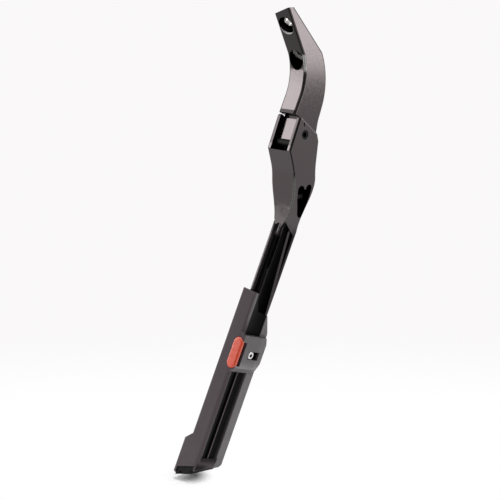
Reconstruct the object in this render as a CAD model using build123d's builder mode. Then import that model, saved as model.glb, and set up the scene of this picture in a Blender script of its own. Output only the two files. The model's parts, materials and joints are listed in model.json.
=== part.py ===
from build123d import *
from math import atan2, cos, degrees, hypot, radians, sin, sqrt
import os

os.makedirs("parts", exist_ok=True)

# A two-bolt bicycle kickstand with a folding leg and a sliding foot. All sizes are in mm.
# The origin is the middle of the mounting face, halfway between the two bolt holes.
# +Z is up, +Y points away from the bicycle, and the leg folds towards -X.

# Mounting pad
HOLE_PITCH = 18.0
BOLT_HOLE_D = 5.5
COUNTERBORE_D = 9.3
BOLT_SEAT = 4.0
PAD_LEAN = 42.0
PAD_WEDGE = 16.5
PAD_END_DEPTH = 11.4
PAD_TOP = 12.5
PAD_BACK_LEN = 16.3
PAD_FRONT_LEN = 6.8
PAD_TOP_DROP = 4.8
BRACKET_T = 11.6
BRACKET_EDGE_R = 1.3
PAD_CORNER_R = 3.0
NECK_FRONT_R = 27.0
NECK_KNEE = 8.0
NECK_TURN = 45.0

# Pivot and the tongue of the bracket
PIVOT_X = -5.1
PIVOT_Z = -53.1
PIN_D = 5.0
PIN_FIT = 0.03
PIN_RECESS_D = 2.8
BUSH_T = 0.7
TONGUE_R = 7.6
TONGUE_FACE = 4.1
TONGUE_FACE_LEAN = 24.3
SHOULDER_RISE = 7.9
HEEL_DROP = 3.5
STOP_GAP = 0.05

# Head of the leg
HEAD_W = 16.6
POCKET_SIDE_GAP = 0.1
POCKET_R = 9.4
HEAD_EDGE_R = 1.1
HEAD_CORNER_R = 2.0
WINDOW_LOBE_R = 2.4
FOLD_ANGLE = 95.0

# Toggle strut and its spring
SEAT_R = 7.0
KNOB_R = 2.0
KNOB_FIT = 0.05
KNOB_LEN = 10.0
NECK_D = 2.4
NECK_CLEAR = 0.3
ROD_D = 3.0
COLLAR_D = 5.8
COLLAR_AT = 6.5
COLLAR_T = 1.2
ANCHOR_X = -1.2
ANCHOR_Z = -33.0
SEAT_PLATE_T = 2.0
SEAT_PLATE_W = 8.4
ROD_ROCK_PLAY = 1.2
ROD_SIDE_PLAY = 0.3
CAVITY_W = 7.2
CLIP_T = 0.8
SPRING_WIRE = 0.9
SPRING_TURNS = 4
ROD_ROOM = 6.0
ROD_ROOM_CLEAR = 0.5

# Shaft of the leg
SHAFT_LEAN = 0.345
SHAFT_SPLAY = 0.15
SHAFT_X = -4.1
SHAFT_Z = -46.0
SHAFT_DEPTH = 13.4
SHAFT_W = 7.1
SHAFT_EDGE_R = 1.2
SHAFT_LEN = 109.0
SIDE_FLUTE_W = 10.4
SIDE_FLUTE_DEPTH = 1.3
FRONT_FLUTE_W = 4.2
FRONT_FLUTE_DEPTH = 0.8
FLUTE_START = 3.7
FLUTE_SLANT = 0.6
FRONT_FLUTE_START = 2.0
FLUTE_BACK = -0.4
CHANNEL_DEPTH = 2.0
RACK_PITCH = 5.0
RACK_DEPTH = 1.0

# Sliding foot
SLEEVE_DEPTH = 21.0
SLEEVE_W = 10.4
SLEEVE_EDGE_R = 1.8
SLEEVE_TOP = 40.0
SLEEVE_FIT = 0.1
SLEEVE_CUT = 51.0
SLEEVE_SCARF = 65.0
BORE_END = 130.5
FLUTE_W = 13.0
FLUTE_DEPTH = 1.1
FLUTE_MID = -2.2
SCOOP_END = 62.6
FLUTE_END = 132.5
BEAD_R = 0.7
BOSS_RISE = 2.6
BOSS_EDGE_R = 0.7
BOSS_TOP = 61.6
BOSS_END = 83.5
BOSS_INSET = 1.6
BOSS_CORNER = 4.5
FLARE_AT = 123.0
FLARE = 4.2
FOOT_LEN = 137.2
FOOT_TILT_OUT = 0.43
FOOT_TILT_BACK = 0.19
SOLE_T = 4.2
SOLE_PROUD = 0.8
SOLE_LEN = 18.4
SOLE_W = 11.8
SOLE_MID_X = -1.0
SOLE_MID_Y = -2.5
SOLE_FIT = 0.1
TREAD_W = 1.3
TREAD_DEPTH = 1.6
TREAD_PITCH = 4.0
SKIRT_BEVEL = 1.2
PLUG_D = 7.0
PLUG_LEN = 4.0
SLIDE_UP = 20.0
SLIDE_DOWN = 30.0

# Release button and lock pin
BUTTON_W = 6.2
BUTTON_LEN = 17.0
BUTTON_PROUD = 1.0
BUTTON_CAP_T = 1.8
BUTTON_EDGE_R = 1.0
BUTTON_FIT = 0.12
BUTTON_TRAVEL = 2.4
ARM_T = 2.4
ARM_H = 6.0
LOCK_AT = 73.0
LOCK_X = -0.7
LOCK_HEAD_D = 4.2
LOCK_BORE_D = 2.0
LOCK_RIM_R = 0.5
LOCK_NOSE_D = 2.4
LOCK_CLEAR = 0.3
LOCK_SLOT = 8.0
RETURN_SPRING_D = 2.6
RETURN_WIRE = 0.4
RETURN_TURNS = 3


def at_pivot(x, z):
    """A point of the XZ plane, measured from the pivot."""
    return (PIVOT_X + x, PIVOT_Z + z)


def turned(x, z, angle):
    """The XZ direction (x, z) turned by an angle, from +Z towards +X."""
    a = radians(angle)
    return (x * cos(a) + z * sin(a), -x * sin(a) + z * cos(a))


# Directions in the XZ plane: along the mounting face, and out of it towards the bicycle.
along_pad = (sin(radians(PAD_LEAN)), -cos(radians(PAD_LEAN)))
out_of_pad = (cos(radians(PAD_LEAN)), sin(radians(PAD_LEAN)))
along_front = (sin(radians(PAD_LEAN - PAD_WEDGE)), -cos(radians(PAD_LEAN - PAD_WEDGE)))
after_knee = turned(along_front[0], along_front[1], NECK_KNEE)

# The strut: its seat on the tongue starts half a fold before dead centre.
anchor_len = hypot(ANCHOR_X, ANCHOR_Z)
anchor_turn = degrees(atan2(-ANCHOR_X, -ANCHOR_Z))
seat_turn = anchor_turn + FOLD_ANGLE / 2
seat_x = -SEAT_R * sin(radians(seat_turn))
seat_z = -SEAT_R * cos(radians(seat_turn))
strut_len = hypot(ANCHOR_X - seat_x, ANCHOR_Z - seat_z)
strut_dir = ((ANCHOR_X - seat_x) / strut_len, (ANCHOR_Z - seat_z) / strut_len)
strut_tilt = degrees(atan2(SEAT_R * sin(radians(FOLD_ANGLE / 2)),
                           anchor_len - SEAT_R * cos(radians(FOLD_ANGLE / 2))))
strut_swing = FOLD_ANGLE + 2 * strut_tilt

# The shaft's own frame: x to the back, y to the bicycle side, z down the shaft.
down = Vector(-SHAFT_LEAN, SHAFT_SPLAY, -1).normalized()
back = (Vector(1, 0, 0) - down * down.X).normalized()
inner = down.cross(back)
shaft_base = Vector(PIVOT_X + SHAFT_X, 0, PIVOT_Z + SHAFT_Z)
across = Plane(origin=shaft_base, x_dir=back, z_dir=down)
side_on = Plane(origin=shaft_base, x_dir=back, z_dir=inner * -1)
front_on = Plane(origin=shaft_base, x_dir=inner, z_dir=back)


def in_shaft(x, y, z):
    """A point measured in the shaft's own frame."""
    return shaft_base + back * x + inner * y + down * z


shaft_half = SHAFT_DEPTH / 2
sleeve_half = SLEEVE_DEPTH / 2
bore_y = SHAFT_W / 2 + SLEEVE_FIT
wall_y = SLEEVE_W / 2
boss_y = wall_y + BOSS_RISE
boss_back = sleeve_half - BOSS_INSET

# Mounting bracket: a wedge-shaped pad, a curved neck and a round tongue, all one thickness.
pad_plane = Plane(origin=(0, 0, 0), x_dir=(along_pad[0], 0, along_pad[1]),
                  z_dir=(out_of_pad[0], 0, out_of_pad[1]))
pad_end = (along_pad[0] * PAD_BACK_LEN, along_pad[1] * PAD_BACK_LEN)
pad_top_back = (along_pad[0] * PAD_TOP / along_pad[1], PAD_TOP)
front_end = (along_pad[0] * PAD_FRONT_LEN - out_of_pad[0] * PAD_END_DEPTH,
             along_pad[1] * PAD_FRONT_LEN - out_of_pad[1] * PAD_END_DEPTH)
front_run = (PAD_TOP - front_end[1]) / along_front[1]
pad_top_front = (front_end[0] + along_front[0] * front_run, PAD_TOP)
face_n = (-cos(radians(TONGUE_FACE_LEAN)), sin(radians(TONGUE_FACE_LEAN)))
face_t = (-sin(radians(TONGUE_FACE_LEAN)), -cos(radians(TONGUE_FACE_LEAN)))


def on_face(n, t):
    """A point measured from the pivot, out of the tongue's face and down along it."""
    return at_pivot(face_n[0] * n + face_t[0] * t, face_n[1] * n + face_t[1] * t)


seat = at_pivot(seat_x, seat_z)


def off_seat(side, away, along, reach):
    """A point measured from the strut's seat, in two directions."""
    return (seat[0] + side[0] * away + along[0] * reach, seat[1] + side[1] * away + along[1] * reach)


neck_gap = NECK_D / 2 + NECK_CLEAR
fold_dir = turned(strut_dir[0], strut_dir[1], strut_swing)
rest_side = (-strut_dir[1], strut_dir[0])
fold_side = (fold_dir[1], -fold_dir[0])
seat_relief = [
    off_seat(rest_side, neck_gap, strut_dir, 0),
    off_seat(rest_side, neck_gap, strut_dir, 9),
    off_seat(strut_dir, 12, fold_dir, 12),
    off_seat(fold_side, neck_gap, fold_dir, 9),
    off_seat(fold_side, neck_gap, fold_dir, 0),
]

heel = at_pivot(11.3, 0.3)
neck_back = at_pivot(16.2, 12.1)
with BuildPart() as mount_bracket:
    with BuildSketch(Plane.XZ):
        with BuildLine():
            Line(pad_top_front, front_end)
            front_bend = JernArc(front_end, after_knee, NECK_FRONT_R, -NECK_TURN)
            Polyline(front_bend @ 1, at_pivot(-5.2, 11.2), on_face(TONGUE_FACE, -SHOULDER_RISE),
                     at_pivot(0, -4), at_pivot(7, -HEEL_DROP), at_pivot(10.4, -HEEL_DROP),
                     heel, neck_back)
            TangentArc(neck_back, pad_end, tangent=(neck_back[0] - heel[0], neck_back[1] - heel[1]))
            Polyline(pad_end, pad_top_back, pad_top_front)
        make_face()
        with Locations(at_pivot(0, 0)):
            Circle(TONGUE_R)
        Polygon(on_face(TONGUE_FACE, -SHOULDER_RISE), on_face(TONGUE_FACE, 12), on_face(16, 12),
                on_face(16, -SHOULDER_RISE), align=None, mode=Mode.SUBTRACT)
        with Locations(seat):
            Circle(KNOB_R + KNOB_FIT, mode=Mode.SUBTRACT)
        Polygon(*seat_relief, align=None, mode=Mode.SUBTRACT)
        with Locations(at_pivot(0, 0)):
            Circle(PIN_D / 2 + BUSH_T, mode=Mode.SUBTRACT)
    extrude(amount=BRACKET_T / 2, both=True)
    pad_corner = mount_bracket.edges().filter_by(Axis.Y).sort_by_distance((pad_end[0], 0, pad_end[1]))[0]
    fillet(pad_corner, PAD_CORNER_R)
    outline = mount_bracket.edges().filter_by(Axis.Y, reverse=True)
    outline = outline.filter_by_position(Axis.Z, PIVOT_Z + SHOULDER_RISE + 4, PAD_TOP - 0.1)
    on_pad = mount_bracket.faces().sort_by(Axis((0, 0, 0), pad_plane.z_dir))[-1].edges()
    fillet([edge for edge in outline if edge not in on_pad], BRACKET_EDGE_R)
    top_y = BRACKET_T / 2 + 1
    with BuildSketch(Plane.YZ):
        Polygon((-top_y, PAD_TOP - 0.4), (-top_y, PAD_TOP + 9), (top_y, PAD_TOP + 9),
                (top_y, PAD_TOP - PAD_TOP_DROP), align=None)
    extrude(amount=60, both=True, mode=Mode.SUBTRACT)
    with BuildSketch(pad_plane):
        with GridLocations(HOLE_PITCH, 1, 2, 1):
            Circle(BOLT_HOLE_D / 2)
    extrude(amount=-40, mode=Mode.SUBTRACT)
    with BuildSketch(pad_plane.offset(-BOLT_SEAT)):
        with GridLocations(HOLE_PITCH, 1, 2, 1):
            Circle(COUNTERBORE_D / 2)
    extrude(amount=-40, mode=Mode.SUBTRACT)
mount_bracket.part.label = "mount_bracket"
export_step(mount_bracket.part, "parts/mount_bracket.step")

# Bush pressed into the tongue. The pin turns in it.
with BuildPart() as pivot_bush:
    with BuildSketch(Plane.XZ):
        with Locations(at_pivot(0, 0)):
            Circle(PIN_D / 2 + BUSH_T)
            Circle(PIN_D / 2 + PIN_FIT, mode=Mode.SUBTRACT)
    extrude(amount=BRACKET_T / 2, both=True)
pivot_bush.part.label = "pivot_bush"
export_step(pivot_bush.part, "parts/pivot_bush.step")

# Pivot pin, pressed into both cheeks, with a driven recess in each end.
with BuildPart() as pivot_pin:
    with BuildSketch(Plane.XZ):
        with Locations(at_pivot(0, 0)):
            Circle(PIN_D / 2)
    extrude(amount=HEAD_W / 2 - 0.2, both=True)
    with BuildSketch(Plane.XZ.offset(HEAD_W / 2 - 1.8), Plane.XZ.offset(-HEAD_W / 2 - 0.2)):
        with Locations(at_pivot(0, 0)):
            Circle(PIN_RECESS_D / 2)
    extrude(amount=2.0, mode=Mode.SUBTRACT)
pivot_pin.part.label = "pivot_pin"
export_step(pivot_pin.part, "parts/pivot_pin.step")

# Leg: a forked head round the tongue, a lofted bend and a fluted shaft, in one casting.
pocket_half = BRACKET_T / 2 + POCKET_SIDE_GAP
web_in = sqrt(POCKET_R ** 2 - HEEL_DROP ** 2)
plate_top = ANCHOR_Z + SEAT_PLATE_T / 2
side_flute_r = (SIDE_FLUTE_W ** 2 / 4 + SIDE_FLUTE_DEPTH ** 2) / (2 * SIDE_FLUTE_DEPTH)
front_flute_r = (FRONT_FLUTE_W ** 2 / 4 + FRONT_FLUTE_DEPTH ** 2) / (2 * FRONT_FLUTE_DEPTH)
side_flute_y = SHAFT_W / 2 + side_flute_r - SIDE_FLUTE_DEPTH
front_flute_x = -shaft_half - front_flute_r + FRONT_FLUTE_DEPTH
nose_end = SHAFT_W / 2 - CHANNEL_DEPTH + 0.25
channel_front = LOCK_X - LOCK_NOSE_D / 2 - LOCK_CLEAR
channel_back = LOCK_X + BUTTON_TRAVEL + LOCK_NOSE_D / 2 + LOCK_CLEAR
channel_start = LOCK_AT - SLIDE_UP - LOCK_NOSE_D / 2 - LOCK_CLEAR
channel_end = LOCK_AT + SLIDE_DOWN + LOCK_NOSE_D / 2 + LOCK_CLEAR
notch_r = LOCK_NOSE_D / 2 + 0.15
notch_count = int((SLIDE_UP + SLIDE_DOWN) / RACK_PITCH) + 1
channel_top = side_on.offset(-SHAFT_W / 2)

head_front = at_pivot(-7.7, -21.9)
head_back = at_pivot(8.9, -21.9)
front_blend = at_pivot(-8.9, -14.4)
back_blend = at_pivot(9.55, -14.4)

with BuildPart() as leg:
    with BuildSketch(Plane.XZ) as head_side:
        with BuildLine():
            TangentArc(head_front, front_blend, tangent=(0, 1))
            Polyline(front_blend, at_pivot(-10.95, -7.1), at_pivot(-2.9, 10.2), at_pivot(9.9, -0.3),
                     at_pivot(11.0, -4.5), back_blend)
            TangentArc(head_back, back_blend, tangent=(0, 1))
            Polyline(head_back, at_pivot(8.9, -22.5), at_pivot(-7.7, -22.5), head_front)
        make_face()
        fillet(head_side.vertices().sort_by(Axis.Y)[-1], HEAD_EDGE_R)
        fillet(head_side.vertices().sort_by(Axis.X)[-2:], HEAD_CORNER_R)
    extrude(amount=HEAD_W / 2, both=True)
    outline = leg.edges().filter_by(Axis.Y, reverse=True)
    fillet(outline.filter_by_position(Axis.Z, PIVOT_Z - 22.4, PIVOT_Z + 12), HEAD_EDGE_R)
    with BuildSketch(Plane.XY.offset(PIVOT_Z - 22.5), Plane.XY.offset(PIVOT_Z - 24.5)):
        with Locations((PIVOT_X + 0.6, 0)):
            RectangleRounded(16.6, HEAD_W, HEAD_EDGE_R)
    with BuildSketch(Plane.XY.offset(PIVOT_Z - 34.5)):
        with Locations((PIVOT_X - 0.9, 0)):
            RectangleRounded(13.6, HEAD_W - 2.2, HEAD_EDGE_R)
    with BuildSketch(across.offset(4)):
        RectangleRounded(SHAFT_DEPTH, SHAFT_W, SHAFT_EDGE_R)
    loft()
    with BuildSketch(across.offset(4)):
        RectangleRounded(SHAFT_DEPTH, SHAFT_W, SHAFT_EDGE_R)
    extrude(amount=SHAFT_LEN - 4)
    # Pocket for the tongue, open to the front and the top.
    with BuildSketch(Plane.XZ):
        Polygon(at_pivot(-16, -7.0), at_pivot(-10.0, -7.6), at_pivot(-9.0, -POCKET_R),
                at_pivot(0, -POCKET_R), at_pivot(web_in, -HEEL_DROP - STOP_GAP),
                at_pivot(16, -HEEL_DROP - STOP_GAP), at_pivot(16, 16), at_pivot(-16, 16), align=None)
        with Locations(at_pivot(0, 0)):
            Circle(POCKET_R)
    extrude(amount=pocket_half, both=True, mode=Mode.SUBTRACT)
    # Tapered space for the strut and its spring, room for the rod's end and a groove for the seat plate.
    with BuildSketch(Plane.XZ):
        Polygon(at_pivot(-8.3, -POCKET_R + 4), at_pivot(8.3, -POCKET_R + 4), at_pivot(2.6, plate_top),
                at_pivot(-5.0, plate_top), align=None)
    extrude(amount=CAVITY_W / 2, both=True, mode=Mode.SUBTRACT)
    rod_room_w = COLLAR_D + 2 * ROD_ROOM_CLEAR
    with BuildSketch(Plane.XY.offset(PIVOT_Z + plate_top - SEAT_PLATE_T)):
        with Locations((PIVOT_X + ANCHOR_X, 0)):
            Rectangle(rod_room_w, rod_room_w)
    extrude(amount=-ROD_ROOM, mode=Mode.SUBTRACT)
    with BuildSketch(Plane.XZ):
        with Locations(at_pivot(ANCHOR_X, ANCHOR_Z)):
            Rectangle(SEAT_PLATE_W, SEAT_PLATE_T)
    extrude(amount=CAVITY_W / 2 + 0.8, both=True, mode=Mode.SUBTRACT)
    # Window on the bicycle side, with two round lobes at its top.
    with BuildSketch(Plane.XZ.offset(HEAD_W / 2 + 1)):
        Polygon(at_pivot(-4.7, -28.9), at_pivot(-4.5, -33.7), at_pivot(-2.4, -42.3), at_pivot(-0.6, -44.3),
                at_pivot(1.2, -44.0), at_pivot(2.3, -41.4), at_pivot(4.9, -32.4), at_pivot(5.7, -28.6),
                align=None)
        with Locations(at_pivot(-2.2, -28.9)):
            Circle(WINDOW_LOBE_R + 0.1)
        with Locations(at_pivot(3.6, -28.6)):
            Circle(WINDOW_LOBE_R - 0.3)
    extrude(amount=-HEAD_W / 2 - 1 - 3.2, mode=Mode.SUBTRACT)
    with BuildSketch(Plane.XZ):
        with Locations(at_pivot(0, 0)):
            Circle(PIN_D / 2)
    extrude(amount=HEAD_W, both=True, mode=Mode.SUBTRACT)
    # Small mark over the pin on the bicycle side.
    with BuildSketch(Plane.XZ.offset(HEAD_W / 2)):
        with Locations(at_pivot(-0.5, 5.4)):
            SlotOverall(2.2, 0.8, rotation=90)
    extrude(amount=-0.5, mode=Mode.SUBTRACT)
    # Flutes down the two wide sides and the front of the shaft. The wide ones start on a slant.
    for side in (1, -1):
        flute_start = Plane(origin=in_shaft(FLUTE_BACK, side * side_flute_y, FLUTE_START),
                            x_dir=back + down * FLUTE_SLANT, z_dir=down - back * FLUTE_SLANT)
        with BuildSketch(flute_start):
            Ellipse(side_flute_r * sqrt(1 + FLUTE_SLANT ** 2), side_flute_r)
        extrude(amount=SHAFT_LEN, dir=down, mode=Mode.SUBTRACT)
    with BuildSketch(across.offset(FRONT_FLUTE_START)):
        with Locations((front_flute_x, 0.4)):
            Circle(front_flute_r)
    extrude(amount=SHAFT_LEN, mode=Mode.SUBTRACT)
    # Channel and rack for the lock pin, closed at both ends so that the foot can't slide off.
    with BuildSketch(channel_top):
        with Locations(((channel_front + channel_back) / 2, (channel_start + channel_end) / 2)):
            Rectangle(channel_back - channel_front, channel_end - channel_start)
        for step in range(notch_count):
            with Locations((channel_front + notch_r - RACK_DEPTH, LOCK_AT - SLIDE_UP + step * RACK_PITCH)):
                Circle(notch_r)
    extrude(amount=CHANNEL_DEPTH, mode=Mode.SUBTRACT)
leg.part.label = "leg"
export_step(leg.part, "parts/leg.step")

# Plate that the strut's spring stands on. The strut slides and rocks in its slot.
with BuildPart() as spring_seat:
    with BuildSketch(Plane.XZ):
        with Locations(at_pivot(ANCHOR_X, ANCHOR_Z)):
            Rectangle(SEAT_PLATE_W, SEAT_PLATE_T)
    extrude(amount=CAVITY_W / 2 + 0.8, both=True)
    with BuildSketch(Plane.XY.offset(PIVOT_Z + plate_top)):
        with Locations((PIVOT_X + ANCHOR_X, 0)):
            Rectangle(ROD_D + 2 * ROD_ROCK_PLAY, ROD_D + 2 * ROD_SIDE_PLAY)
    extrude(amount=-SEAT_PLATE_T, mode=Mode.SUBTRACT)
spring_seat.part.label = "spring_seat"
export_step(spring_seat.part, "parts/spring_seat.step")

# Toggle strut: a cross knob that rocks in the tongue's seat, a collar and a rod.
strut_plane = Plane(origin=(seat[0], 0, seat[1]), x_dir=(0, 1, 0), z_dir=(strut_dir[0], 0, strut_dir[1]))
spring_top = COLLAR_AT + COLLAR_T
clip_at = strut_len + SEAT_PLATE_T / 2 + 0.7
with BuildPart() as strut:
    with BuildSketch(Plane.XZ):
        with Locations(seat):
            Circle(KNOB_R)
    extrude(amount=KNOB_LEN / 2, both=True)
    with BuildSketch(strut_plane):
        Circle(NECK_D / 2)
    extrude(amount=COLLAR_AT)
    with BuildSketch(strut_plane.offset(COLLAR_AT)):
        Circle(COLLAR_D / 2)
    extrude(amount=COLLAR_T)
    with BuildSketch(strut_plane.offset(spring_top)):
        Circle(ROD_D / 2)
    extrude(amount=clip_at + CLIP_T + 0.8 - spring_top)
strut.part.label = "strut"
export_step(strut.part, "parts/strut.step")

with BuildPart() as rod_clip:
    with BuildSketch(strut_plane.offset(clip_at)):
        Circle(COLLAR_D / 2)
        Circle(ROD_D / 2, mode=Mode.SUBTRACT)
    extrude(amount=CLIP_T)
rod_clip.part.label = "rod_clip"
export_step(rod_clip.part, "parts/rod_clip.step")

# Square-wire compression spring round the strut, from the collar down to the seat plate.
coil_r = (COLLAR_D - SPRING_WIRE) / 2
coil_start = spring_top + SPRING_WIRE / 2
coil_end = strut_len - SEAT_PLATE_T / 2 - SPRING_WIRE / 2 - 0.5
with BuildPart() as strut_spring:
    with BuildLine():
        coil = Helix((coil_end - coil_start) / SPRING_TURNS, coil_end - coil_start, coil_r,
                     center=strut_plane.offset(coil_start).origin, direction=strut_plane.z_dir)
    with BuildSketch(Plane(origin=coil @ 0, z_dir=coil % 0)):
        Rectangle(SPRING_WIRE, SPRING_WIRE)
    sweep(path=coil, is_frenet=True)
strut_spring.part.label = "strut_spring"
export_step(strut_spring.part, "parts/strut_spring.step")

# Sliding foot: a plastic sleeve with a scoop, a boss for the lock and a flared end.
flute_r = (FLUTE_W ** 2 / 4 + FLUTE_DEPTH ** 2) / (2 * FLUTE_DEPTH)
flute_y = wall_y + flute_r - FLUTE_DEPTH
foot_normal = (back * FOOT_TILT_BACK + inner * FOOT_TILT_OUT + down).normalized()
foot_plane = Plane(origin=in_shaft(0, 0, FOOT_LEN), x_dir=back, z_dir=foot_normal)
sole_drop = SOLE_T / foot_normal.dot(down)
sole_back = SOLE_MID_X + SOLE_LEN / 2 + SOLE_FIT
button_y = boss_y + 0.1 - BUTTON_W / 2
cap_back = -sleeve_half - BUTTON_PROUD + BUTTON_CAP_T
arm_in = bore_y + 0.3
arm_back = LOCK_X + LOCK_HEAD_D / 2 + 1
arm_out = arm_in + ARM_T
spring_end = boss_back - 1.4
with BuildPart() as foot_sleeve:
    with BuildSketch(across.offset(SLEEVE_TOP)):
        RectangleRounded(SLEEVE_DEPTH, SLEEVE_W, SLEEVE_EDGE_R)
    extrude(amount=FOOT_LEN + 15 - SLEEVE_TOP)
    with BuildSketch(front_on):
        Polygon((-wall_y + 2, FLARE_AT - 2), (-wall_y - FLARE, FLARE_AT + FLARE),
                (-wall_y - FLARE, FOOT_LEN + 15), (-wall_y + 2, FOOT_LEN + 15), align=None)
    extrude(amount=sleeve_half, both=True)
    flare_edges = foot_sleeve.edges().filter_by(Axis(shaft_base, down)).sort_by(Axis(shaft_base, inner))[:2]
    fillet(flare_edges, SLEEVE_EDGE_R)
    split(bisect_by=foot_plane.offset(SOLE_T - SOLE_PROUD), keep=Keep.BOTTOM)
    chamfer(foot_sleeve.faces().sort_by(Axis(shaft_base, foot_normal))[-1].edges(), SKIRT_BEVEL)
    with BuildSketch(front_on.offset(-sleeve_half)):
        Polygon((wall_y - 1, BOSS_TOP - 0.4), (boss_y, BOSS_TOP + 0.8), (boss_y, BOSS_END - 3),
                (wall_y - 1, BOSS_END + 1), align=None)
    extrude(amount=sleeve_half + boss_back)
    with BuildSketch(side_on.offset(-wall_y)):
        Polygon((boss_back - BOSS_CORNER / 2, BOSS_TOP - 1), (boss_back, BOSS_TOP + BOSS_CORNER),
                (boss_back, BOSS_END - 2 - BOSS_CORNER), (boss_back - BOSS_CORNER, BOSS_END + 2),
                (boss_back + 1, BOSS_END + 2), (boss_back + 1, BOSS_TOP - 1), align=None)
    extrude(amount=-BOSS_RISE - 1, mode=Mode.SUBTRACT)
    boss_edges = foot_sleeve.faces().sort_by(Axis(shaft_base, inner))[-1].edges()
    fillet(boss_edges, BOSS_EDGE_R)
    with BuildSketch(across.offset(SLEEVE_TOP)):
        Rectangle(SHAFT_DEPTH + 2 * SLEEVE_FIT, SHAFT_W + 2 * SLEEVE_FIT)
    extrude(amount=BORE_END - SLEEVE_TOP, mode=Mode.SUBTRACT)
    # The top is cut away behind a front tab.
    with BuildSketch(side_on):
        Polygon((-8.6, SLEEVE_TOP - 1), (-8.2, SLEEVE_TOP + 0.6), (-3.1, SLEEVE_CUT - 1.3),
                (4.4, SLEEVE_CUT), (sleeve_half + 1, SLEEVE_SCARF), (sleeve_half + 1, SLEEVE_TOP - 1),
                align=None)
    extrude(amount=3 * SLEEVE_W, both=True, mode=Mode.SUBTRACT)
    # Scoop above the boss, and a long flute with a bead below it.
    with BuildSketch(across.offset(SLEEVE_TOP)):
        with Locations((FLUTE_MID, flute_y)):
            Circle(flute_r)
    extrude(amount=SCOOP_END - SLEEVE_TOP, mode=Mode.SUBTRACT)
    with BuildSketch(across.offset(BOSS_END)):
        with Locations((FLUTE_MID, flute_y)):
            Circle(flute_r)
    extrude(amount=FLUTE_END - BOSS_END, mode=Mode.SUBTRACT)
    with BuildSketch(across.offset(BOSS_END - 1)):
        with Locations((FLUTE_MID - 1.2, wall_y - BEAD_R)):
            Circle(BEAD_R)
    extrude(amount=FLUTE_END - BOSS_END + 2)
    # Room for the button, its arm, the return spring and the lock pin.
    with BuildSketch(front_on.offset(-sleeve_half - 3)):
        with Locations((button_y, LOCK_AT)):
            SlotOverall(BUTTON_LEN + 2 * BUTTON_FIT, BUTTON_W + 2 * BUTTON_FIT, rotation=90)
    extrude(amount=3 + sleeve_half + cap_back + BUTTON_TRAVEL + BUTTON_FIT, mode=Mode.SUBTRACT)
    with BuildSketch(front_on.offset(cap_back)):
        with Locations((bore_y - 0.5, LOCK_AT)):
            Rectangle(arm_out + BUTTON_FIT - bore_y + 0.5, ARM_H + 2 * BUTTON_FIT,
                      align=(Align.MIN, Align.CENTER))
    extrude(amount=spring_end - cap_back, mode=Mode.SUBTRACT)
    with BuildSketch(side_on.offset(-boss_y - 1)):
        with Locations((LOCK_X - LOCK_HEAD_D / 2 - BUTTON_FIT, LOCK_AT)):
            Rectangle(LOCK_SLOT, LOCK_HEAD_D + 2 * BUTTON_FIT, align=(Align.MIN, Align.CENTER))
    extrude(amount=boss_y + 1 - arm_out, mode=Mode.SUBTRACT)
    # Seat for the sole, open at the front, with a round hole for the sole's plug.
    with BuildSketch(foot_plane):
        with Locations((sole_back, SOLE_MID_Y)):
            Rectangle(SLEEVE_DEPTH + 10, SOLE_W + 2 * SOLE_FIT, align=(Align.MAX, Align.CENTER))
    extrude(amount=2 * sole_drop, dir=down, mode=Mode.SUBTRACT)
    with BuildSketch(foot_plane):
        with Locations((0, SOLE_MID_Y)):
            Circle(PLUG_D / 2)
    extrude(amount=-PLUG_LEN, mode=Mode.SUBTRACT)
foot_sleeve.part.label = "foot_sleeve"
export_step(foot_sleeve.part, "parts/foot_sleeve.step")

# Rubber sole with two tread grooves and a plug that holds it in the foot.
with BuildPart() as rubber_sole:
    with BuildSketch(foot_plane):
        with Locations((SOLE_MID_X, SOLE_MID_Y)):
            Rectangle(SOLE_LEN, SOLE_W)
    extrude(amount=sole_drop, dir=down)
    with BuildSketch(foot_plane.offset(SOLE_T)):
        with Locations((0, SOLE_MID_Y)):
            with GridLocations(1, 2 * TREAD_PITCH, 1, 2):
                Rectangle(2 * SOLE_LEN, TREAD_W)
    extrude(amount=-TREAD_DEPTH, mode=Mode.SUBTRACT)
    with BuildSketch(foot_plane):
        with Locations((0, SOLE_MID_Y)):
            Circle(PLUG_D / 2)
    extrude(amount=-PLUG_LEN)
rubber_sole.part.label = "rubber_sole"
export_step(rubber_sole.part, "parts/rubber_sole.step")

# Release button: an obround cap on the corner of the boss, and an arm beside the shaft.
with BuildPart() as release_button:
    with BuildSketch(front_on.offset(-sleeve_half - BUTTON_PROUD)):
        with Locations((button_y, LOCK_AT)):
            SlotOverall(BUTTON_LEN, BUTTON_W, rotation=90)
    extrude(amount=BUTTON_CAP_T)
    fillet(release_button.faces().sort_by(Axis(shaft_base, back))[0].edges(), BUTTON_EDGE_R)
    with BuildSketch(front_on.offset(cap_back)):
        with Locations((arm_in, LOCK_AT)):
            Rectangle(ARM_T, ARM_H, align=(Align.MIN, Align.CENTER))
    extrude(amount=arm_back - cap_back)
    with BuildSketch(side_on.offset(-boss_y - 1)):
        with Locations((LOCK_X, LOCK_AT)):
            Circle(LOCK_HEAD_D / 2)
    extrude(amount=boss_y + 1, mode=Mode.SUBTRACT)
release_button.part.label = "release_button"
export_step(release_button.part, "parts/release_button.step")

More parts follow.
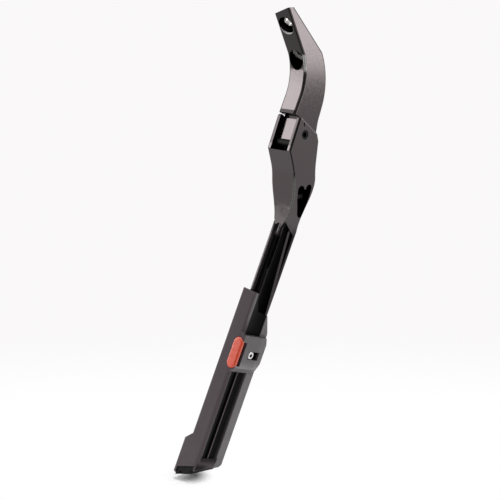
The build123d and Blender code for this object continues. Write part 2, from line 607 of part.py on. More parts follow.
# Lock pin: a hollow head in the arm and the slot, and a nose beside the rack.
with BuildPart() as lock_pin:
    with BuildSketch(side_on.offset(-arm_in)):
        with Locations((LOCK_X, LOCK_AT)):
            Circle(LOCK_HEAD_D / 2)
    extrude(amount=-(boss_y - 0.2 - arm_in))
    fillet(lock_pin.edges().sort_by(Axis(shaft_base, inner))[-1], LOCK_RIM_R)
    with BuildSketch(side_on.offset(-boss_y + 0.2)):
        with Locations((LOCK_X, LOCK_AT)):
            Circle(LOCK_BORE_D / 2)
    extrude(amount=2.4, mode=Mode.SUBTRACT)
    with BuildSketch(side_on.offset(-arm_in)):
        with Locations((LOCK_X, LOCK_AT)):
            Circle(LOCK_NOSE_D / 2)
    extrude(amount=arm_in - nose_end)
lock_pin.part.label = "lock_pin"
export_step(lock_pin.part, "parts/lock_pin.step")

# Return spring between the arm and the end of its room in the boss.
return_len = spring_end - arm_back - RETURN_WIRE
return_start = in_shaft(arm_back + RETURN_WIRE / 2, (arm_in + arm_out) / 2, LOCK_AT)
with BuildPart() as button_spring:
    with BuildLine():
        wire = Helix(return_len / RETURN_TURNS, return_len, (RETURN_SPRING_D - RETURN_WIRE) / 2,
                     center=return_start, direction=back)
    with BuildSketch(Plane(origin=wire @ 0, z_dir=wire % 0)):
        Rectangle(RETURN_WIRE, RETURN_WIRE)
    sweep(path=wire, is_frenet=True)
button_spring.part.label = "button_spring"
export_step(button_spring.part, "parts/button_spring.step")
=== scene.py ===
# %% [markdown]
# # A bicycle kickstand in a white studio
# The stand is a black casting that bolts to the rear stays of a bicycle. Its leg folds on a pin,
# and a plastic foot slides on the leg and locks with a red button.
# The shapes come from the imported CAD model, so this lesson is about light and finishes:
# how to make black parts readable on a white ground.

# %% Load the frame
import json
import math

import bpy
from mathutils import Matrix, Vector


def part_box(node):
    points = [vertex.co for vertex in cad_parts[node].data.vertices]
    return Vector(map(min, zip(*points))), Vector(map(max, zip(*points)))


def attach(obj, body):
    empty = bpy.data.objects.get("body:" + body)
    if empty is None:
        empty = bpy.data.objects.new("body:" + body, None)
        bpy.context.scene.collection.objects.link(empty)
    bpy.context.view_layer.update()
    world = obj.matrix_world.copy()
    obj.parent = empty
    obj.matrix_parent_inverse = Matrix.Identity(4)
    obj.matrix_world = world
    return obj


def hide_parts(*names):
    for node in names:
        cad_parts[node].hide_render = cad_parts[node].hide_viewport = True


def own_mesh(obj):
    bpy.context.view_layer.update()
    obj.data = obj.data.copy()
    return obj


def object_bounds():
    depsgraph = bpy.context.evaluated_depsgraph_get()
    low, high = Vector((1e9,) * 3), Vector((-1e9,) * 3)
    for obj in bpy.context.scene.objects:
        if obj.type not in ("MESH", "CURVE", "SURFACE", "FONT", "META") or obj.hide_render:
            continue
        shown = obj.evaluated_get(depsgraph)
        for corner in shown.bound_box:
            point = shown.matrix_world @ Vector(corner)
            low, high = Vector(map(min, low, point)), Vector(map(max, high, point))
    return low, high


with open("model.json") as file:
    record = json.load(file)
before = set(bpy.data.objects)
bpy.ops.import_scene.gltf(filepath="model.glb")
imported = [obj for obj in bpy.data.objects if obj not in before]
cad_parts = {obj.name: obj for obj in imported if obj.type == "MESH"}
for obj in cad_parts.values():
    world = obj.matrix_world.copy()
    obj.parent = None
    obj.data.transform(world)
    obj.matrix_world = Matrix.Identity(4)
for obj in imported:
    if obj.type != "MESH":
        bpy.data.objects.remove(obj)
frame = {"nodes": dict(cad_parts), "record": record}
nodes = frame["nodes"]
cad_low, cad_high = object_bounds()
stand_mid = (cad_low + cad_high) / 2
scene = bpy.context.scene
scene.view_settings.view_transform = "Standard"
print("loaded", len(nodes), "nodes,", "height", round(cad_high.z - cad_low.z, 4), "m")

# %% [markdown]
# ## Camera
# The photograph was taken with a long lens, a little above the stand and 45 degrees round from
# its narrow edge. The lens and the place were worked out from the bolt holes and the long
# straight edges of the leg, so the camera is written as plain numbers.

# %% Camera
CAMERA_PLACE = Vector((-0.5121, -0.4753, 0.0518))
CAMERA_PITCH = math.radians(76.46)
CAMERA_TURN = math.radians(-45.0)
LENS_MM = 97.2
SENSOR_MM = 36.0
CLIP_NEAR, CLIP_FAR = 0.01, 50.0

camera_data = bpy.data.cameras.new("studio_camera")
camera_data.lens = LENS_MM
camera_data.sensor_width = SENSOR_MM
camera_data.clip_start = CLIP_NEAR
camera_data.clip_end = CLIP_FAR
camera = bpy.data.objects.new("studio_camera", camera_data)
camera.location = CAMERA_PLACE
camera.rotation_euler = (CAMERA_PITCH, 0.0, CAMERA_TURN)
scene.collection.objects.link(camera)
scene.camera = camera
print("camera is", round((CAMERA_PLACE - stand_mid).length, 3), "m from the stand")

# %% [markdown]
# ## Wiring shaders
# A shader is a small graph of boxes and wires. A few helpers keep the graphs short to write. They
# add a box and set it up, join an output to an input, and take the largest of several values.
# The last one tells the rays that look at a surface from those that only bring light.


# %% Helpers for shader graphs
def add(tree, kind, inputs=None, **settings):
    """A new shader box, with its settings and input values."""
    made = tree.nodes.new("ShaderNode" + kind)
    for name, value in settings.items():
        setattr(made, name, value)
    for name, value in (inputs or {}).items():
        made.inputs[name].default_value = value
    return made


def join(tree, output, target):
    """A wire from an output to an input."""
    tree.links.new(output, target)


def feed(tree, value, target):
    """An input gets an output's value, or a plain number."""
    if isinstance(value, float):
        target.default_value = value
    else:
        join(tree, value, target)


def either(tree, *outputs):
    """The largest of several values, so it is 1 as soon as one of them is."""
    result = outputs[0]
    for other in outputs[1:]:
        larger = add(tree, "Math", operation="MAXIMUM")
        join(tree, result, larger.inputs[0])
        feed(tree, other, larger.inputs[1])
        result = larger.outputs[0]
    return result


def looked_at(tree):
    """1 for a ray that comes from the camera, from a reflection or through glass."""
    path = add(tree, "LightPath")
    return either(tree, path.outputs["Is Camera Ray"], path.outputs["Is Glossy Ray"],
                  path.outputs["Is Transmission Ray"])


print("helpers ready")

# %% [markdown]
# ## White room
# The background is a white sweep. The world is white where the camera or a reflection looks
# straight at it, and dimmer as a light, so that the lamps still give the parts their shape. From
# below towards the horizon it gets a trace greyer, as a sweep does where it curves up.

# %% World
WHITE = (1.0, 1.0, 1.0, 1.0)
FAR_WHITE = (0.956, 0.942, 0.949, 1.0)
SWEEP_LOW = -0.342
SWEEP_HIGH = -0.284
WORLD_FILL = 0.55

world = bpy.data.worlds.new("white_room")
world.use_nodes = True
scene.world = world
tree = world.node_tree
tree.nodes.clear()
fill = add(tree, "Background", {"Color": WHITE, "Strength": WORLD_FILL})
backdrop = add(tree, "Background", {"Strength": 1.0})
gaze = add(tree, "TexCoord")
parts = add(tree, "SeparateXYZ")
rise = add(tree, "MapRange", {"From Min": SWEEP_LOW, "From Max": SWEEP_HIGH},
           interpolation_type="SMOOTHSTEP")
shade = add(tree, "ValToRGB")
shade.color_ramp.elements[0].color = WHITE
shade.color_ramp.elements[1].color = FAR_WHITE
join(tree, gaze.outputs["Generated"], parts.inputs[0])
join(tree, parts.outputs["Z"], rise.inputs["Value"])
join(tree, rise.outputs["Result"], shade.inputs["Fac"])
join(tree, shade.outputs["Color"], backdrop.inputs["Color"])
mix = add(tree, "MixShader")
out = add(tree, "OutputWorld")
join(tree, looked_at(tree), mix.inputs["Fac"])
join(tree, fill.outputs[0], mix.inputs[1])
join(tree, backdrop.outputs[0], mix.inputs[2])
join(tree, mix.outputs[0], out.inputs["Surface"])
print("world fill", WORLD_FILL)

# %% [markdown]
# ## Floor
# A real sweep is a sheet of white card. Close to the sole it has to be an ordinary lit surface,
# or the stand would have no shadow. Beyond a soft ring round the sole the card gives light to the
# stand, but the eye looks through it to the plain white. The ring belongs to the sole: with the
# foot pulled out or the leg folded, the sole leaves this floor and so does its shadow. It is
# shifted a little to the outer front corner of the sole, the side to which the lamp on the right
# throws the shadow.

# %% Floor
FLOOR_SIZE = 14.0
FLOOR_GAP = 0.0001
FLOOR_WHITE = (0.93, 0.93, 0.93, 1.0)
RING_START = 0.004
RING_END = 0.015
RING_SHIFT = Vector((-0.0035, 0.0035, 0.0))


def plate(name, width, height):
    """A flat rectangle round the origin, in the XY plane."""
    mesh = bpy.data.meshes.new(name)
    w, h = width / 2, height / 2
    mesh.from_pydata([(-w, -h, 0), (w, -h, 0), (w, h, 0), (-w, h, 0)], [], [(0, 1, 2, 3)])
    made = bpy.data.objects.new(name, mesh)
    scene.collection.objects.link(made)
    return made


sole_low, sole_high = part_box("rubber_sole")
sole_mid = (sole_low + sole_high) / 2
floor = plate("floor", FLOOR_SIZE, FLOOR_SIZE)
floor.location = (sole_mid.x, sole_mid.y, cad_low.z - FLOOR_GAP)

sweep = bpy.data.materials.new("white_sweep")
sweep.use_nodes = True
tree = sweep.node_tree
tree.nodes.clear()
place = add(tree, "TexCoord", object=nodes["rubber_sole"])
away = add(tree, "VectorMath", operation="DISTANCE")
away.inputs[1].default_value = floor.location + RING_SHIFT
ring = add(tree, "MapRange", {"From Min": RING_START, "From Max": RING_END},
           interpolation_type="SMOOTHSTEP")
far_view = add(tree, "Math", operation="MULTIPLY")
card = add(tree, "BsdfDiffuse", {"Color": FLOOR_WHITE})
clear = add(tree, "BsdfTransparent")
mix = add(tree, "MixShader")
out = add(tree, "OutputMaterial")
join(tree, place.outputs["Object"], away.inputs[0])
join(tree, away.outputs["Value"], ring.inputs["Value"])
join(tree, ring.outputs["Result"], far_view.inputs[0])
join(tree, looked_at(tree), far_view.inputs[1])
join(tree, far_view.outputs[0], mix.inputs["Fac"])
join(tree, card.outputs[0], mix.inputs[1])
join(tree, clear.outputs[0], mix.inputs[2])
join(tree, mix.outputs[0], out.inputs["Surface"])
floor.data.materials.append(sweep)
print("floor at", round(floor.location.z, 4))

# %% [markdown]
# ## Soft boxes
# Gloss black shows what it mirrors, so the lamps are placed by the reflections in the
# photograph. The narrow front faces mirror a tall box on the left behind the stand. The wide
# faces of the bracket mirror the foot of a box on the right in front of it, which is why they
# fade from light to dark. A lamp overhead keeps the floor white and lights the top edges.


# %% Lamps
def aim(made, place, target, face):
    """A lamp or card goes to a place, with one of its sides towards a target."""
    made.location = place
    made.rotation_mode = "QUATERNION"
    made.rotation_quaternion = (Vector(target) - Vector(place)).to_track_quat(face, "Y")


def soft_box(name, place, target, width, height, watts):
    """A rectangular lamp that looks at a point."""
    data = bpy.data.lights.new(name, "AREA")
    data.shape = "RECTANGLE"
    data.size = width
    data.size_y = height
    data.energy = watts
    lamp = bpy.data.objects.new(name, data)
    aim(lamp, place, target, "-Z")
    scene.collection.objects.link(lamp)
    return lamp


left_box = soft_box("left_box", place=(-0.45, 0.556, 0.19), target=(-0.01, 0.0, 0.1),
                    width=0.27, height=0.62, watts=2.7)
right_box = soft_box("right_box", place=(0.53, -0.53, 0.15), target=(0.0, 0.0, 0.15),
                     width=0.28, height=0.50, watts=2.0)
top_box = soft_box("top_box", place=(0.05, 0.05, 0.9), target=(0.0, 0.0, 0.0),
                   width=0.5, height=0.5, watts=4.7)
print("lamps", left_box.name, right_box.name, top_box.name)

# %% [markdown]
# ## Dark cards
# A photographer sets dark cards where a gloss part should mirror darkness. The large one is
# beside the camera and draws a dark line along each rounded corner. Only reflections see them.

# %% Cards
CARD_GREY = (0.16, 0.16, 0.16, 1.0)
CARD_LIFT = 0.002

card_dark = bpy.data.materials.new("card_dark")
card_dark.use_nodes = True
tree = card_dark.node_tree
tree.nodes.clear()
grey = add(tree, "Emission", {"Color": CARD_GREY, "Strength": 1.0})
out = add(tree, "OutputMaterial")
join(tree, grey.outputs[0], out.inputs["Surface"])


def dark_card(name, place, target, width, height):
    """A dark card that only reflections see."""
    made = plate(name, width, height)
    aim(made, place, target, "Z")
    made.data.materials.append(card_dark)
    made.visible_camera = False
    made.visible_diffuse = False
    made.visible_shadow = False
    made.visible_transmission = False
    return made


camera_card = dark_card("camera_card", place=(-0.32, -0.32, 0.07), target=(0.0, 0.0, 0.07),
                        width=1.3, height=0.6)
left_card = dark_card("left_card", place=stand_mid + Vector((-0.65, 0.26, 0.1)),
                      target=stand_mid, width=0.36, height=0.5)
low_card = dark_card("low_card", place=(-0.21, -0.23, cad_low.z + CARD_LIFT),
                     target=(-0.21, -0.23, 1.0), width=0.36, height=0.36)
print("cards", camera_card.name, left_card.name, low_card.name)

# %% [markdown]
# ## Places on the leg
# Some finishes change along a part. The shaft of the leg leans and splays, so distances are
# measured in its own three directions: down the shaft, to the back and towards the bicycle.

# %% Directions of the shaft
DOWN = Vector((-0.345, 0.15, -1.0)).normalized()
BACK = (Vector((1.0, 0.0, 0.0)) - DOWN * DOWN.x).normalized()
INNER = DOWN.cross(BACK)
SHAFT_BASE = Vector((-0.0092, 0.0, -0.0991))


def measure(tree, source, axis):
    """The part of a surface point's place or normal that lies along a direction."""
    place = add(tree, "TexCoord")
    dot = add(tree, "VectorMath", operation="DOT_PRODUCT")
    dot.inputs[1].default_value = axis
    join(tree, place.outputs[source], dot.inputs[0])
    return dot.outputs["Value"]


def along(tree, axis, start=SHAFT_BASE):
    """Distance of a surface point from a start along a direction, in metres."""
    shift = add(tree, "Math", operation="SUBTRACT")
    shift.inputs[1].default_value = start.dot(axis)
    join(tree, measure(tree, "Object", axis), shift.inputs[0])
    return shift.outputs[0]


print("shaft leans", round(math.degrees(math.acos(-DOWN.z)), 1), "degrees")

# %% [markdown]
# A mask is a value from 0 to 1 that says where a finish applies. Masks are made by soft steps of
# such a distance, and are joined by products and by the largest value. So a painter's stencil is
# replaced by a few numbers that stay fixed to the part when it moves.


# %% Masks
def step(tree, output, start, end, low=0.0, high=1.0):
    """A smooth change from one value to another as the input goes from start to end."""
    limits = {"From Min": start, "From Max": end, "To Min": low, "To Max": high}
    made = add(tree, "MapRange", limits, interpolation_type="SMOOTHSTEP")
    join(tree, output, made.inputs["Value"])
    return made.outputs["Result"]


def times(tree, *factors):
    """The product of several values. The first is an output, the others may be plain numbers."""
    result = factors[0]
    for other in factors[1:]:
        product = add(tree, "Math", operation="MULTIPLY")
        join(tree, result, product.inputs[0])
        feed(tree, other, product.inputs[1])
        result = product.outputs[0]
    return result


def within(tree, output, rise, fall):
    """A soft band: a mask that is 1 between the end of its rise and the end of its fall."""
    return times(tree, step(tree, output, *rise), step(tree, output, *fall))


def faces(tree, axis, turn):
    """1 where a surface faces a direction, with the two limits of its soft edge."""
    return step(tree, measure(tree, "Normal", axis), *turn)


def pick(tree, mask, outside, inside):
    """One value outside a mask and another inside it."""
    return step(tree, mask, 0.0, 1.0, outside, inside)


def blend(tree, value, factor, rest):
    """A value times a factor, added to the rest."""
    made = add(tree, "Math", operation="MULTIPLY_ADD")
    made.inputs[1].default_value = factor
    join(tree, value, made.inputs[0])
    join(tree, rest, made.inputs[2])
    return made.outputs[0]


print("masks ready")

# %% [markdown]
# ## Finishes
# Every finish starts from the same shader. A noise moves its colour a little, and in most of them
# its roughness too. A fine noise gives the painted and moulded ones a skin, because no such
# surface is perfectly even.

# %% Helpers for finishes
NOISE_DETAIL = 3.0
NOISE_ROUGH = 0.55
NOISE_LOW, NOISE_HIGH = 0.3, 0.7


def new_finish(name, rough=0.5, metallic=0.0, specular=0.5):
    """A material with one shader."""
    made = bpy.data.materials.new(name)
    made.use_nodes = True
    shader = made.node_tree.nodes["Principled BSDF"]
    shader.inputs["Roughness"].default_value = rough
    shader.inputs["Metallic"].default_value = metallic
    shader.inputs["Specular IOR Level"].default_value = specular
    return made, made.node_tree, shader


def noise(tree, scale):
    """A noise fixed to the part. The scale is in waves per metre."""
    place = add(tree, "TexCoord")
    made = add(tree, "TexNoise",
               {"Scale": scale, "Detail": NOISE_DETAIL, "Roughness": NOISE_ROUGH})
    join(tree, place.outputs["Object"], made.inputs["Vector"])
    return made.outputs["Fac"]


def wander(tree, scale, low, high):
    """A value that goes up and down between two limits with a noise."""
    return step(tree, noise(tree, scale), NOISE_LOW, NOISE_HIGH, low, high)


def tones(tree, shader, value, *stops):
    """The base colour goes through several tones with a value. A stop is a value and a tone."""
    ramp = add(tree, "ValToRGB")
    while len(ramp.color_ramp.elements) < len(stops):
        ramp.color_ramp.elements.new(0.5)
    for element, (position, tone) in zip(ramp.color_ramp.elements, stops):
        element.position = position
        element.color = (*tone, 1.0)
    join(tree, value, ramp.inputs["Fac"])
    join(tree, ramp.outputs["Color"], shader.inputs["Base Color"])


def two_tone(tree, shader, scale, dark, light):
    """The base colour goes from one tone to another with a noise."""
    tones(tree, shader, noise(tree, scale), (NOISE_LOW, dark), (NOISE_HIGH, light))


def skin(tree, shader, scale, height):
    """A fine bump over the whole part, its height in metres."""
    bump = add(tree, "Bump", {"Strength": 1.0, "Distance": height})
    join(tree, noise(tree, scale), bump.inputs["Height"])
    join(tree, bump.outputs["Normal"], shader.inputs["Normal"])


print("finish helpers ready")

# %% [markdown]
# ## Black casting
# The bracket and the leg are cast in aluminium under a thin, semi-gloss black coat. The shader is
# a metal whose colour is almost black: the colour says how much of the lamps comes back. Painted
# shade is made by a darker colour and painted light by a paler one, which also survive an export.

# %% Coat of the castings
COAT = (0.088, 0.077, 0.079)
COAT_SHADED = (0.0006, 0.0005, 0.0005)
COAT_LIT = (0.72, 0.71, 0.70)
SHINE = 0.74
SHINE_DRIFT = 0.08
UP = Vector((0.0, 0.0, 1.0))
FRONT = Vector((-1.0, 0.0, 0.0))
BIKE_SIDE = Vector((0.0, -1.0, 0.0))
EDGE_SIDE = Vector((-0.7071, -0.7071, 0.0))
EDGE_TURN = (0.74, 0.85)


def coat(name):
    """The black skin of a casting, with its grain."""
    made, tree, shader = new_finish(name, metallic=1.0)
    skin(tree, shader, scale=2600.0, height=0.0000008)
    return made, tree, shader


def coat_light_and_shade(tree, shader, painted_shade, painted_light, rough):
    """Darker with painted shade, paler with painted light, and rough in places."""
    shine = blend(tree, noise(tree, scale=60.0), SHINE_DRIFT, pick(tree, painted_shade, SHINE, 0.0))
    tones(tree, shader, either(tree, shine, painted_light), (0.03, COAT_SHADED), (0.8, COAT), (0.98, COAT_LIT))
    grain = wander(tree, scale=700.0, low=0.11, high=0.16)
    join(tree, either(tree, grain, rough), shader.inputs["Roughness"])


print("coat", COAT)

# %% [markdown]
# Inside the bolt holes the coat is painted almost black, as shade. Painted glints of pale metal
# go on the wall of the small bore and on a band of the wide bore. A place inside a hole is found
# by its distance from the bolt's line.

# %% Bolt lines
BOLT_AXIS = Vector((0.7431, 0.0, 0.6691))
HALF_PITCH = 0.009
HOLE_STEP = Vector((-0.6691, 0.0, 0.7431)) * HALF_PITCH
BORE_R = 0.00465
THREAD_R = 0.00276
BORE_SOFT = 0.0001


def near_line(tree, point, axis, radius):
    """1 inside a radius of a line."""
    place = add(tree, "TexCoord")
    away = add(tree, "VectorMath", operation="SUBTRACT")
    away.inputs[1].default_value = point
    arm = add(tree, "VectorMath", operation="CROSS_PRODUCT")
    arm.inputs[1].default_value = axis
    reach = add(tree, "VectorMath", operation="LENGTH")
    join(tree, place.outputs["Object"], away.inputs[0])
    join(tree, away.outputs["Vector"], arm.inputs[0])
    join(tree, arm.outputs["Vector"], reach.inputs[0])
    return step(tree, reach.outputs["Value"], radius + BORE_SOFT, radius)


def bores(tree, radius):
    """1 inside a radius of either bolt's line."""
    return either(tree, near_line(tree, HOLE_STEP, BOLT_AXIS, radius),
                  near_line(tree, -HOLE_STEP, BOLT_AXIS, radius))


print("holes", round(2 * HOLE_STEP.length, 4), "m apart")

# %% [markdown]
# On the bracket the front of the pad is painted darker, as shade. A band of painted shade crosses
# the neck just above the head. The side of the neck is painted darker towards the head, as shade.
# Beside the lower hole the edge is painted pale, as painted light that takes out its dark line.

# %% Coat of the bracket
PAD_HEIGHT, PAD_SHADE = (0.0741, 0.0866), 0.5
BAND_RISE, BAND_FALL, BAND_SHADE = (0.0554, 0.0559), (0.0591, 0.0586), 0.72
NECK_HEIGHT, NECK_SHADE = (0.0725, 0.0625), 0.2
EDGE_RISE, EDGE_FALL, BRACKET_EDGE_LIGHT = (0.0725, 0.0790), (0.0890, 0.0860), 0.95
HOLE_GLINT_RISE, HOLE_GLINT_FALL, PAINTED_LIGHT_ROUGH = (-0.0090, -0.0086), (-0.0066, -0.0070), 0.6
BORE_SHADE = 0.9
THREAD_GLINT = 0.92

bracket_coat, tree, shader = coat("bracket_coat")
front = faces(tree, FRONT, turn=(0.6, 0.85))
height = along(tree, UP)
inward = along(tree, BOLT_AXIS, start=Vector((0.0, 0.0, 0.0)))
wide_bore, small_bore = bores(tree, BORE_R), bores(tree, THREAD_R)

pad = times(tree, front, step(tree, height, *PAD_HEIGHT), PAD_SHADE)
band = times(tree, front, within(tree, height, BAND_RISE, BAND_FALL), BAND_SHADE)
neck = times(tree, faces(tree, BIKE_SIDE, turn=(0.8, 0.95)),
             step(tree, height, *NECK_HEIGHT), NECK_SHADE)
hole_glint = times(tree, wide_bore, within(tree, inward, HOLE_GLINT_RISE, HOLE_GLINT_FALL))
lit_edge = times(tree, faces(tree, EDGE_SIDE, EDGE_TURN),
             within(tree, height, EDGE_RISE, EDGE_FALL), pick(tree, wide_bore, 1.0, 0.0))
coat_light_and_shade(tree, shader,
          painted_shade=either(tree, pad, band, neck, times(tree, wide_bore, BORE_SHADE)),
          painted_light=either(tree, times(tree, small_bore, THREAD_GLINT), hole_glint,
                      times(tree, lit_edge, BRACKET_EDGE_LIGHT)),
          rough=times(tree, either(tree, hole_glint, lit_edge), PAINTED_LIGHT_ROUGH))
print("made", bracket_coat.name)

# %% [markdown]
# On the leg the rim of the pocket, the front of the bend and the shaft are painted darker, as
# shade. The front edge of the shaft gets less of this painted shade. So does a thin line that
# slants along its side, a painted highlight where the light grazes the far flank of the flute.

# %% Painted shade and highlights of the leg
RIM_SIDE, RIM_TURN = Vector((-0.8, 0.0, 0.6)), (0.45, 0.6)
RIM_HEIGHT, RIM_SHADE = (0.0405, 0.042), 0.5
SHAFT_START, SHAFT_SHADE = (-0.002, 0.008), 0.62
BEND_START, BEND_END, BEND_SHADE = (-0.0080, -0.0060), (0.002, 0.012), 0.63
FRONT_EDGE_ACROSS, FRONT_EDGE_DEPTH = (-0.0056, -0.0062), (-0.0004, -0.0010)
FRONT_EDGE_SHADE = 0.18
GLINT_SLANT, GLINT_RISE, GLINT_FALL = -0.082, (0.0, 0.0007), (0.0021, 0.0014)
GLINT_ON_SHAFT, GLINT_IN_FLUTE = 0.5, 0.32

leg_coat, tree, shader = coat("leg_coat")
down, across, depth = along(tree, DOWN), along(tree, BACK), along(tree, INNER)
rim = times(tree, faces(tree, RIM_SIDE, RIM_TURN), step(tree, along(tree, UP), *RIM_HEIGHT),
            RIM_SHADE)
front_edge = times(tree, step(tree, across, *FRONT_EDGE_ACROSS),
                   step(tree, depth, *FRONT_EDGE_DEPTH))
glint = within(tree, blend(tree, down, GLINT_SLANT, across), GLINT_RISE, GLINT_FALL)
shaft = times(tree, step(tree, down, *SHAFT_START),
              pick(tree, front_edge, SHAFT_SHADE, FRONT_EDGE_SHADE),
              pick(tree, glint, 1.0, GLINT_ON_SHAFT))
bend = times(tree, faces(tree, FRONT, turn=(0.55, 0.8)), step(tree, down, *BEND_START),
             step(tree, down, *BEND_END, BEND_SHADE, FRONT_EDGE_SHADE))
print("shine of", leg_coat.name)

# %% [markdown]
# The flutes are rough and painted almost black, as shade, so they read as black stripes. On the
# lower shaft the rail between them gets less of this shade, as a painted highlight. Towards the
# shaft the edge of the head is rougher and painted a little paler, so its dark line fades out.

# %% Flutes and edge of the leg
SIDE_RISE, SIDE_FALL = (-0.0058, -0.0050), (0.0052, 0.0044)
SIDE_DEPTH, SIDE_START = (0.00352, 0.0032), (0.0, 0.004)
FRONT_ACROSS, FRONT_DEPTH, FRONT_START = (-0.0050, -0.0056), (-0.0010, -0.0004), (0.004, 0.010)
RAIL_DEPTH, RAIL_START, RAIL_SHADE = (0.0022, 0.0028), (0.022, 0.032), 0.2
FLUTE_ROUGH = 0.85
EDGE_END = (0.004, 0.0)
HEAD_LIGHT_START, HEAD_EDGE_LIGHT = (-0.045, -0.0205), 0.845
SATIN_START, EDGE_ROUGH = (-0.0285, -0.0210), 0.7

side_flute = times(tree, step(tree, depth, *SIDE_DEPTH),
                   within(tree, across, SIDE_RISE, SIDE_FALL), step(tree, down, *SIDE_START),
                   pick(tree, glint, 1.0, GLINT_IN_FLUTE))
rail = times(tree, step(tree, depth, *RAIL_DEPTH), step(tree, down, *RAIL_START))
front_flute = times(tree, step(tree, across, *FRONT_ACROSS), step(tree, depth, *FRONT_DEPTH),
                    step(tree, down, *FRONT_START), pick(tree, rail, 1.0, RAIL_SHADE))
flutes = either(tree, side_flute, front_flute)
lit_edge = times(tree, faces(tree, EDGE_SIDE, EDGE_TURN), step(tree, down, *EDGE_END))
coat_light_and_shade(tree, shader,
          painted_shade=either(tree, rim, shaft, bend, flutes),
          painted_light=times(tree, lit_edge, step(tree, down, *HEAD_LIGHT_START), HEAD_EDGE_LIGHT),
          rough=either(tree, times(tree, flutes, FLUTE_ROUGH),
                       times(tree, lit_edge, step(tree, down, *SATIN_START), EDGE_ROUGH)))
print("made", leg_coat.name)

# %% [markdown]
# ## Moulded plastic
# The foot is moulded in black plastic. The mould was spark-eroded, which leaves a fine grain and
# a satin surface. The grooves are painted almost black, as shade, and the painted shade runs on a
# little past their lower ends. The wide side is painted darker beside the sole, as shade.

# %% Painted shade of the foot
GROOVE_RISE, GROOVE_FALL = (-0.0092, -0.0084), (0.0046, 0.0038)
GROOVE_FLOOR, GROOVE_TOP = (0.0035, 0.0038), (0.00518, 0.0049)
FADE_ACROSS, FADE_DOWN, FADE_MOST = (-0.0002, 0.0046), (0.080, 0.084), 0.55
END_RISE, END_FALL, END_SHADE = (0.1315, 0.1325), (0.1375, 0.133), 0.7
SOLE_SHADE_ACROSS, SOLE_SHADE_DOWN, SOLE_SHADE = (0.003, -0.006), (0.1335, 0.138), 0.75

black_plastic, tree, shader = new_finish("black_plastic", specular=0.04)
down, across, depth = along(tree, DOWN), along(tree, BACK), along(tree, INNER)
wide = faces(tree, INNER, turn=(0.5, 0.95))
between = within(tree, across, GROOVE_RISE, GROOVE_FALL)
fade = times(tree, step(tree, across, *FADE_ACROSS), step(tree, down, *FADE_DOWN), FADE_MOST)
groove = times(tree, between, within(tree, depth, GROOVE_FLOOR, GROOVE_TOP),
               pick(tree, fade, 1.0, 0.0))
groove_end = times(tree, between, wide, within(tree, down, END_RISE, END_FALL), END_SHADE)
sole_shade = times(tree, wide, step(tree, across, *SOLE_SHADE_ACROSS), step(tree, down, *SOLE_SHADE_DOWN),
             SOLE_SHADE)
dark = either(tree, groove, groove_end, sole_shade)
print("dark places of", black_plastic.name)

# %% [markdown]
# The boss and the strip below it get painted light, most of all at the lower end of the boss.
# The foot gets a little paler towards its lower end.

# %% Painted light and tone of the foot
PLASTIC_SHADED = (0.002, 0.002, 0.002)
PLASTIC = (0.081, 0.066, 0.072)
PLASTIC_LIT = (0.158, 0.150, 0.152)
PLASTIC_PALE = (0.28, 0.27, 0.27)
LIP_ACROSS, LIP_DOWN = (-0.0080, -0.0086), (0.060, 0.052)
RAISED_DEPTH, RAISED_PROUD = (0.0053, 0.0056), 0.78
STRIP_ACROSS = (0.003, 0.004)
LIT_GAIN = 0.36
BOSS_LIGHT_DOWN, BOSS_LIGHT_GAIN = (0.0745, 0.0825), 0.26
TONE_DRIFT = 0.08
LOWER_END_DOWN, UPPER_TONE, LOWER_TONE = (0.04, 0.137), 0.34, 0.40

lip = times(tree, step(tree, across, *LIP_ACROSS), step(tree, down, *LIP_DOWN))
raised = step(tree, depth, *RAISED_DEPTH)
proud = either(tree, step(tree, across, *STRIP_ACROSS), times(tree, raised, RAISED_PROUD), lip)
lit_places = times(tree, wide, proud, pick(tree, dark, LIT_GAIN, 0.0))
boss_light = times(tree, wide, raised, step(tree, down, *BOSS_LIGHT_DOWN), BOSS_LIGHT_GAIN)
tone = blend(tree, noise(tree, scale=90.0), TONE_DRIFT,
             step(tree, down, *LOWER_END_DOWN, UPPER_TONE, LOWER_TONE))
tone = blend(tree, boss_light, 1.0, blend(tree, lit_places, 1.0, tone))
tones(tree, shader, times(tree, tone, pick(tree, dark, 1.0, 0.0)),
      (0.0, PLASTIC_SHADED), (0.4, PLASTIC), (0.76, PLASTIC_LIT), (1.0, PLASTIC_PALE))
join(tree, wander(tree, scale=1500.0, low=0.36, high=0.46), shader.inputs["Roughness"])
skin(tree, shader, scale=3800.0, height=0.000006)
print("made", black_plastic.name)

# %% [markdown]
# ## Red button
# The button is moulded in coral red. Its cap is what a finger or a shoe presses. The arm behind
# it is in the shade of the boss, and that shade is painted into its colour, which goes dark
# there.

# %% Finish of the button
RED_SHADED = (0.006, 0.003, 0.003)
RED = (0.55, 0.056, 0.021)
RED_LIGHT = (0.6, 0.065, 0.027)
CAP_ACROSS = (-0.0090, -0.0098)

red_plastic, tree, shader = new_finish("red_plastic", rough=0.22, specular=0.7)
cap = step(tree, along(tree, BACK), *CAP_ACROSS)
grain = wander(tree, scale=400.0, low=0.9, high=1.0)
tones(tree, shader, times(tree, cap, grain), (0.1, RED_SHADED), (0.9, RED), (1.0, RED_LIGHT))
skin(tree, shader, scale=2500.0, height=0.000004)
print("made", red_plastic.name)

# %% [markdown]
# ## Rubber and metals
# The sole is matt rubber. The lock pin and the button's spring are bright plated steel, the pivot
# pin and the toggle inside the head are blackened and oiled, and the bush is bronze.

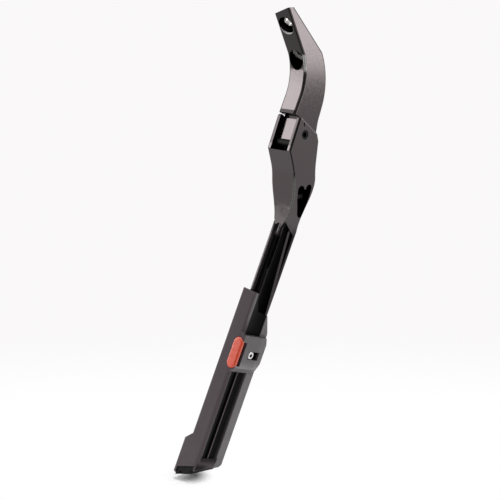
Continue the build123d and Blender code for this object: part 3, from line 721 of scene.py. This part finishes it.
# %% Finish of rubber and metals
RUBBER_DARK, RUBBER_LIGHT = (0.004, 0.004, 0.004), (0.012, 0.012, 0.012)
STEEL_SHADED, STEEL, STEEL_LIGHT = (0.02, 0.02, 0.02), (0.72, 0.72, 0.72), (0.9, 0.9, 0.89)
OILED_DARK, OILED_LIGHT = (0.003, 0.003, 0.003), (0.008, 0.008, 0.008)
BRONZE_DARK, BRONZE_LIGHT = (0.45, 0.3, 0.13), (0.6, 0.42, 0.2)
PIN_DEPTH = (0.0064, 0.0070)

black_rubber, tree, shader = new_finish("black_rubber", rough=0.8, specular=0.2)
two_tone(tree, shader, scale=500.0, dark=RUBBER_DARK, light=RUBBER_LIGHT)
skin(tree, shader, scale=1500.0, height=0.00004)

bright_steel, tree, shader = new_finish("bright_steel", metallic=1.0)
# Deeper in the boss the bright steel is painted dark, as shade.
steel_light_and_tone = times(tree, step(tree, along(tree, INNER), *PIN_DEPTH),
             wander(tree, scale=800.0, low=0.85, high=1.0))
tones(tree, shader, steel_light_and_tone, (0.1, STEEL_SHADED), (0.85, STEEL), (1.0, STEEL_LIGHT))
join(tree, wander(tree, scale=3000.0, low=0.35, high=0.5), shader.inputs["Roughness"])

dark_steel, tree, shader = new_finish("dark_steel", specular=0.12)
two_tone(tree, shader, scale=300.0, dark=OILED_DARK, light=OILED_LIGHT)
join(tree, wander(tree, scale=1200.0, low=0.4, high=0.6), shader.inputs["Roughness"])

bronze, tree, shader = new_finish("bronze", rough=0.35, metallic=1.0)
two_tone(tree, shader, scale=400.0, dark=BRONZE_DARK, light=BRONZE_LIGHT)
print("made rubber, steel and bronze")

# %% [markdown]
# ## Dressing the parts
# Each part of the record names the finish that it takes, so one loop dresses the whole stand. The
# two castings share a finish in the record, but each has a coat of its own here.

# %% Dress
finishes = {"black_plastic": black_plastic, "red_plastic": red_plastic,
            "black_rubber": black_rubber, "bright_steel": bright_steel,
            "dark_steel": dark_steel, "bronze": bronze}
castings = {"mount_bracket": bracket_coat, "leg": leg_coat}
for part in frame["record"]["subparts"]:
    node = nodes[part["node"]]
    node.data.materials.clear()
    node.data.materials.append(castings.get(part["node"]) or finishes[part["material_slot"]])

# %% [markdown]
# ## Button spring
# The button's return spring is a wire coil that stands on the end of its room in the boss. It has
# to get shorter as the button goes in. Here it is drawn as a piece of its own that rides on the
# button. It is a little smaller than its room, because a coil that rubs would not let the button
# come back.

# %% Button spring
COIL_EASE = 0.95

cad_coil = nodes["button_spring"]
coil = bpy.data.objects.new("button_coil", cad_coil.data.copy())
scene.collection.objects.link(coil)
coil_mid = sum(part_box("button_spring"), Vector()) / 2
coil.matrix_world = (Matrix.Translation(coil_mid) @ Matrix.Scale(COIL_EASE, 4)
                     @ Matrix.Translation(-coil_mid) @ cad_coil.matrix_world)
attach(coil, "button")
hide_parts("button_spring")
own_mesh(coil)
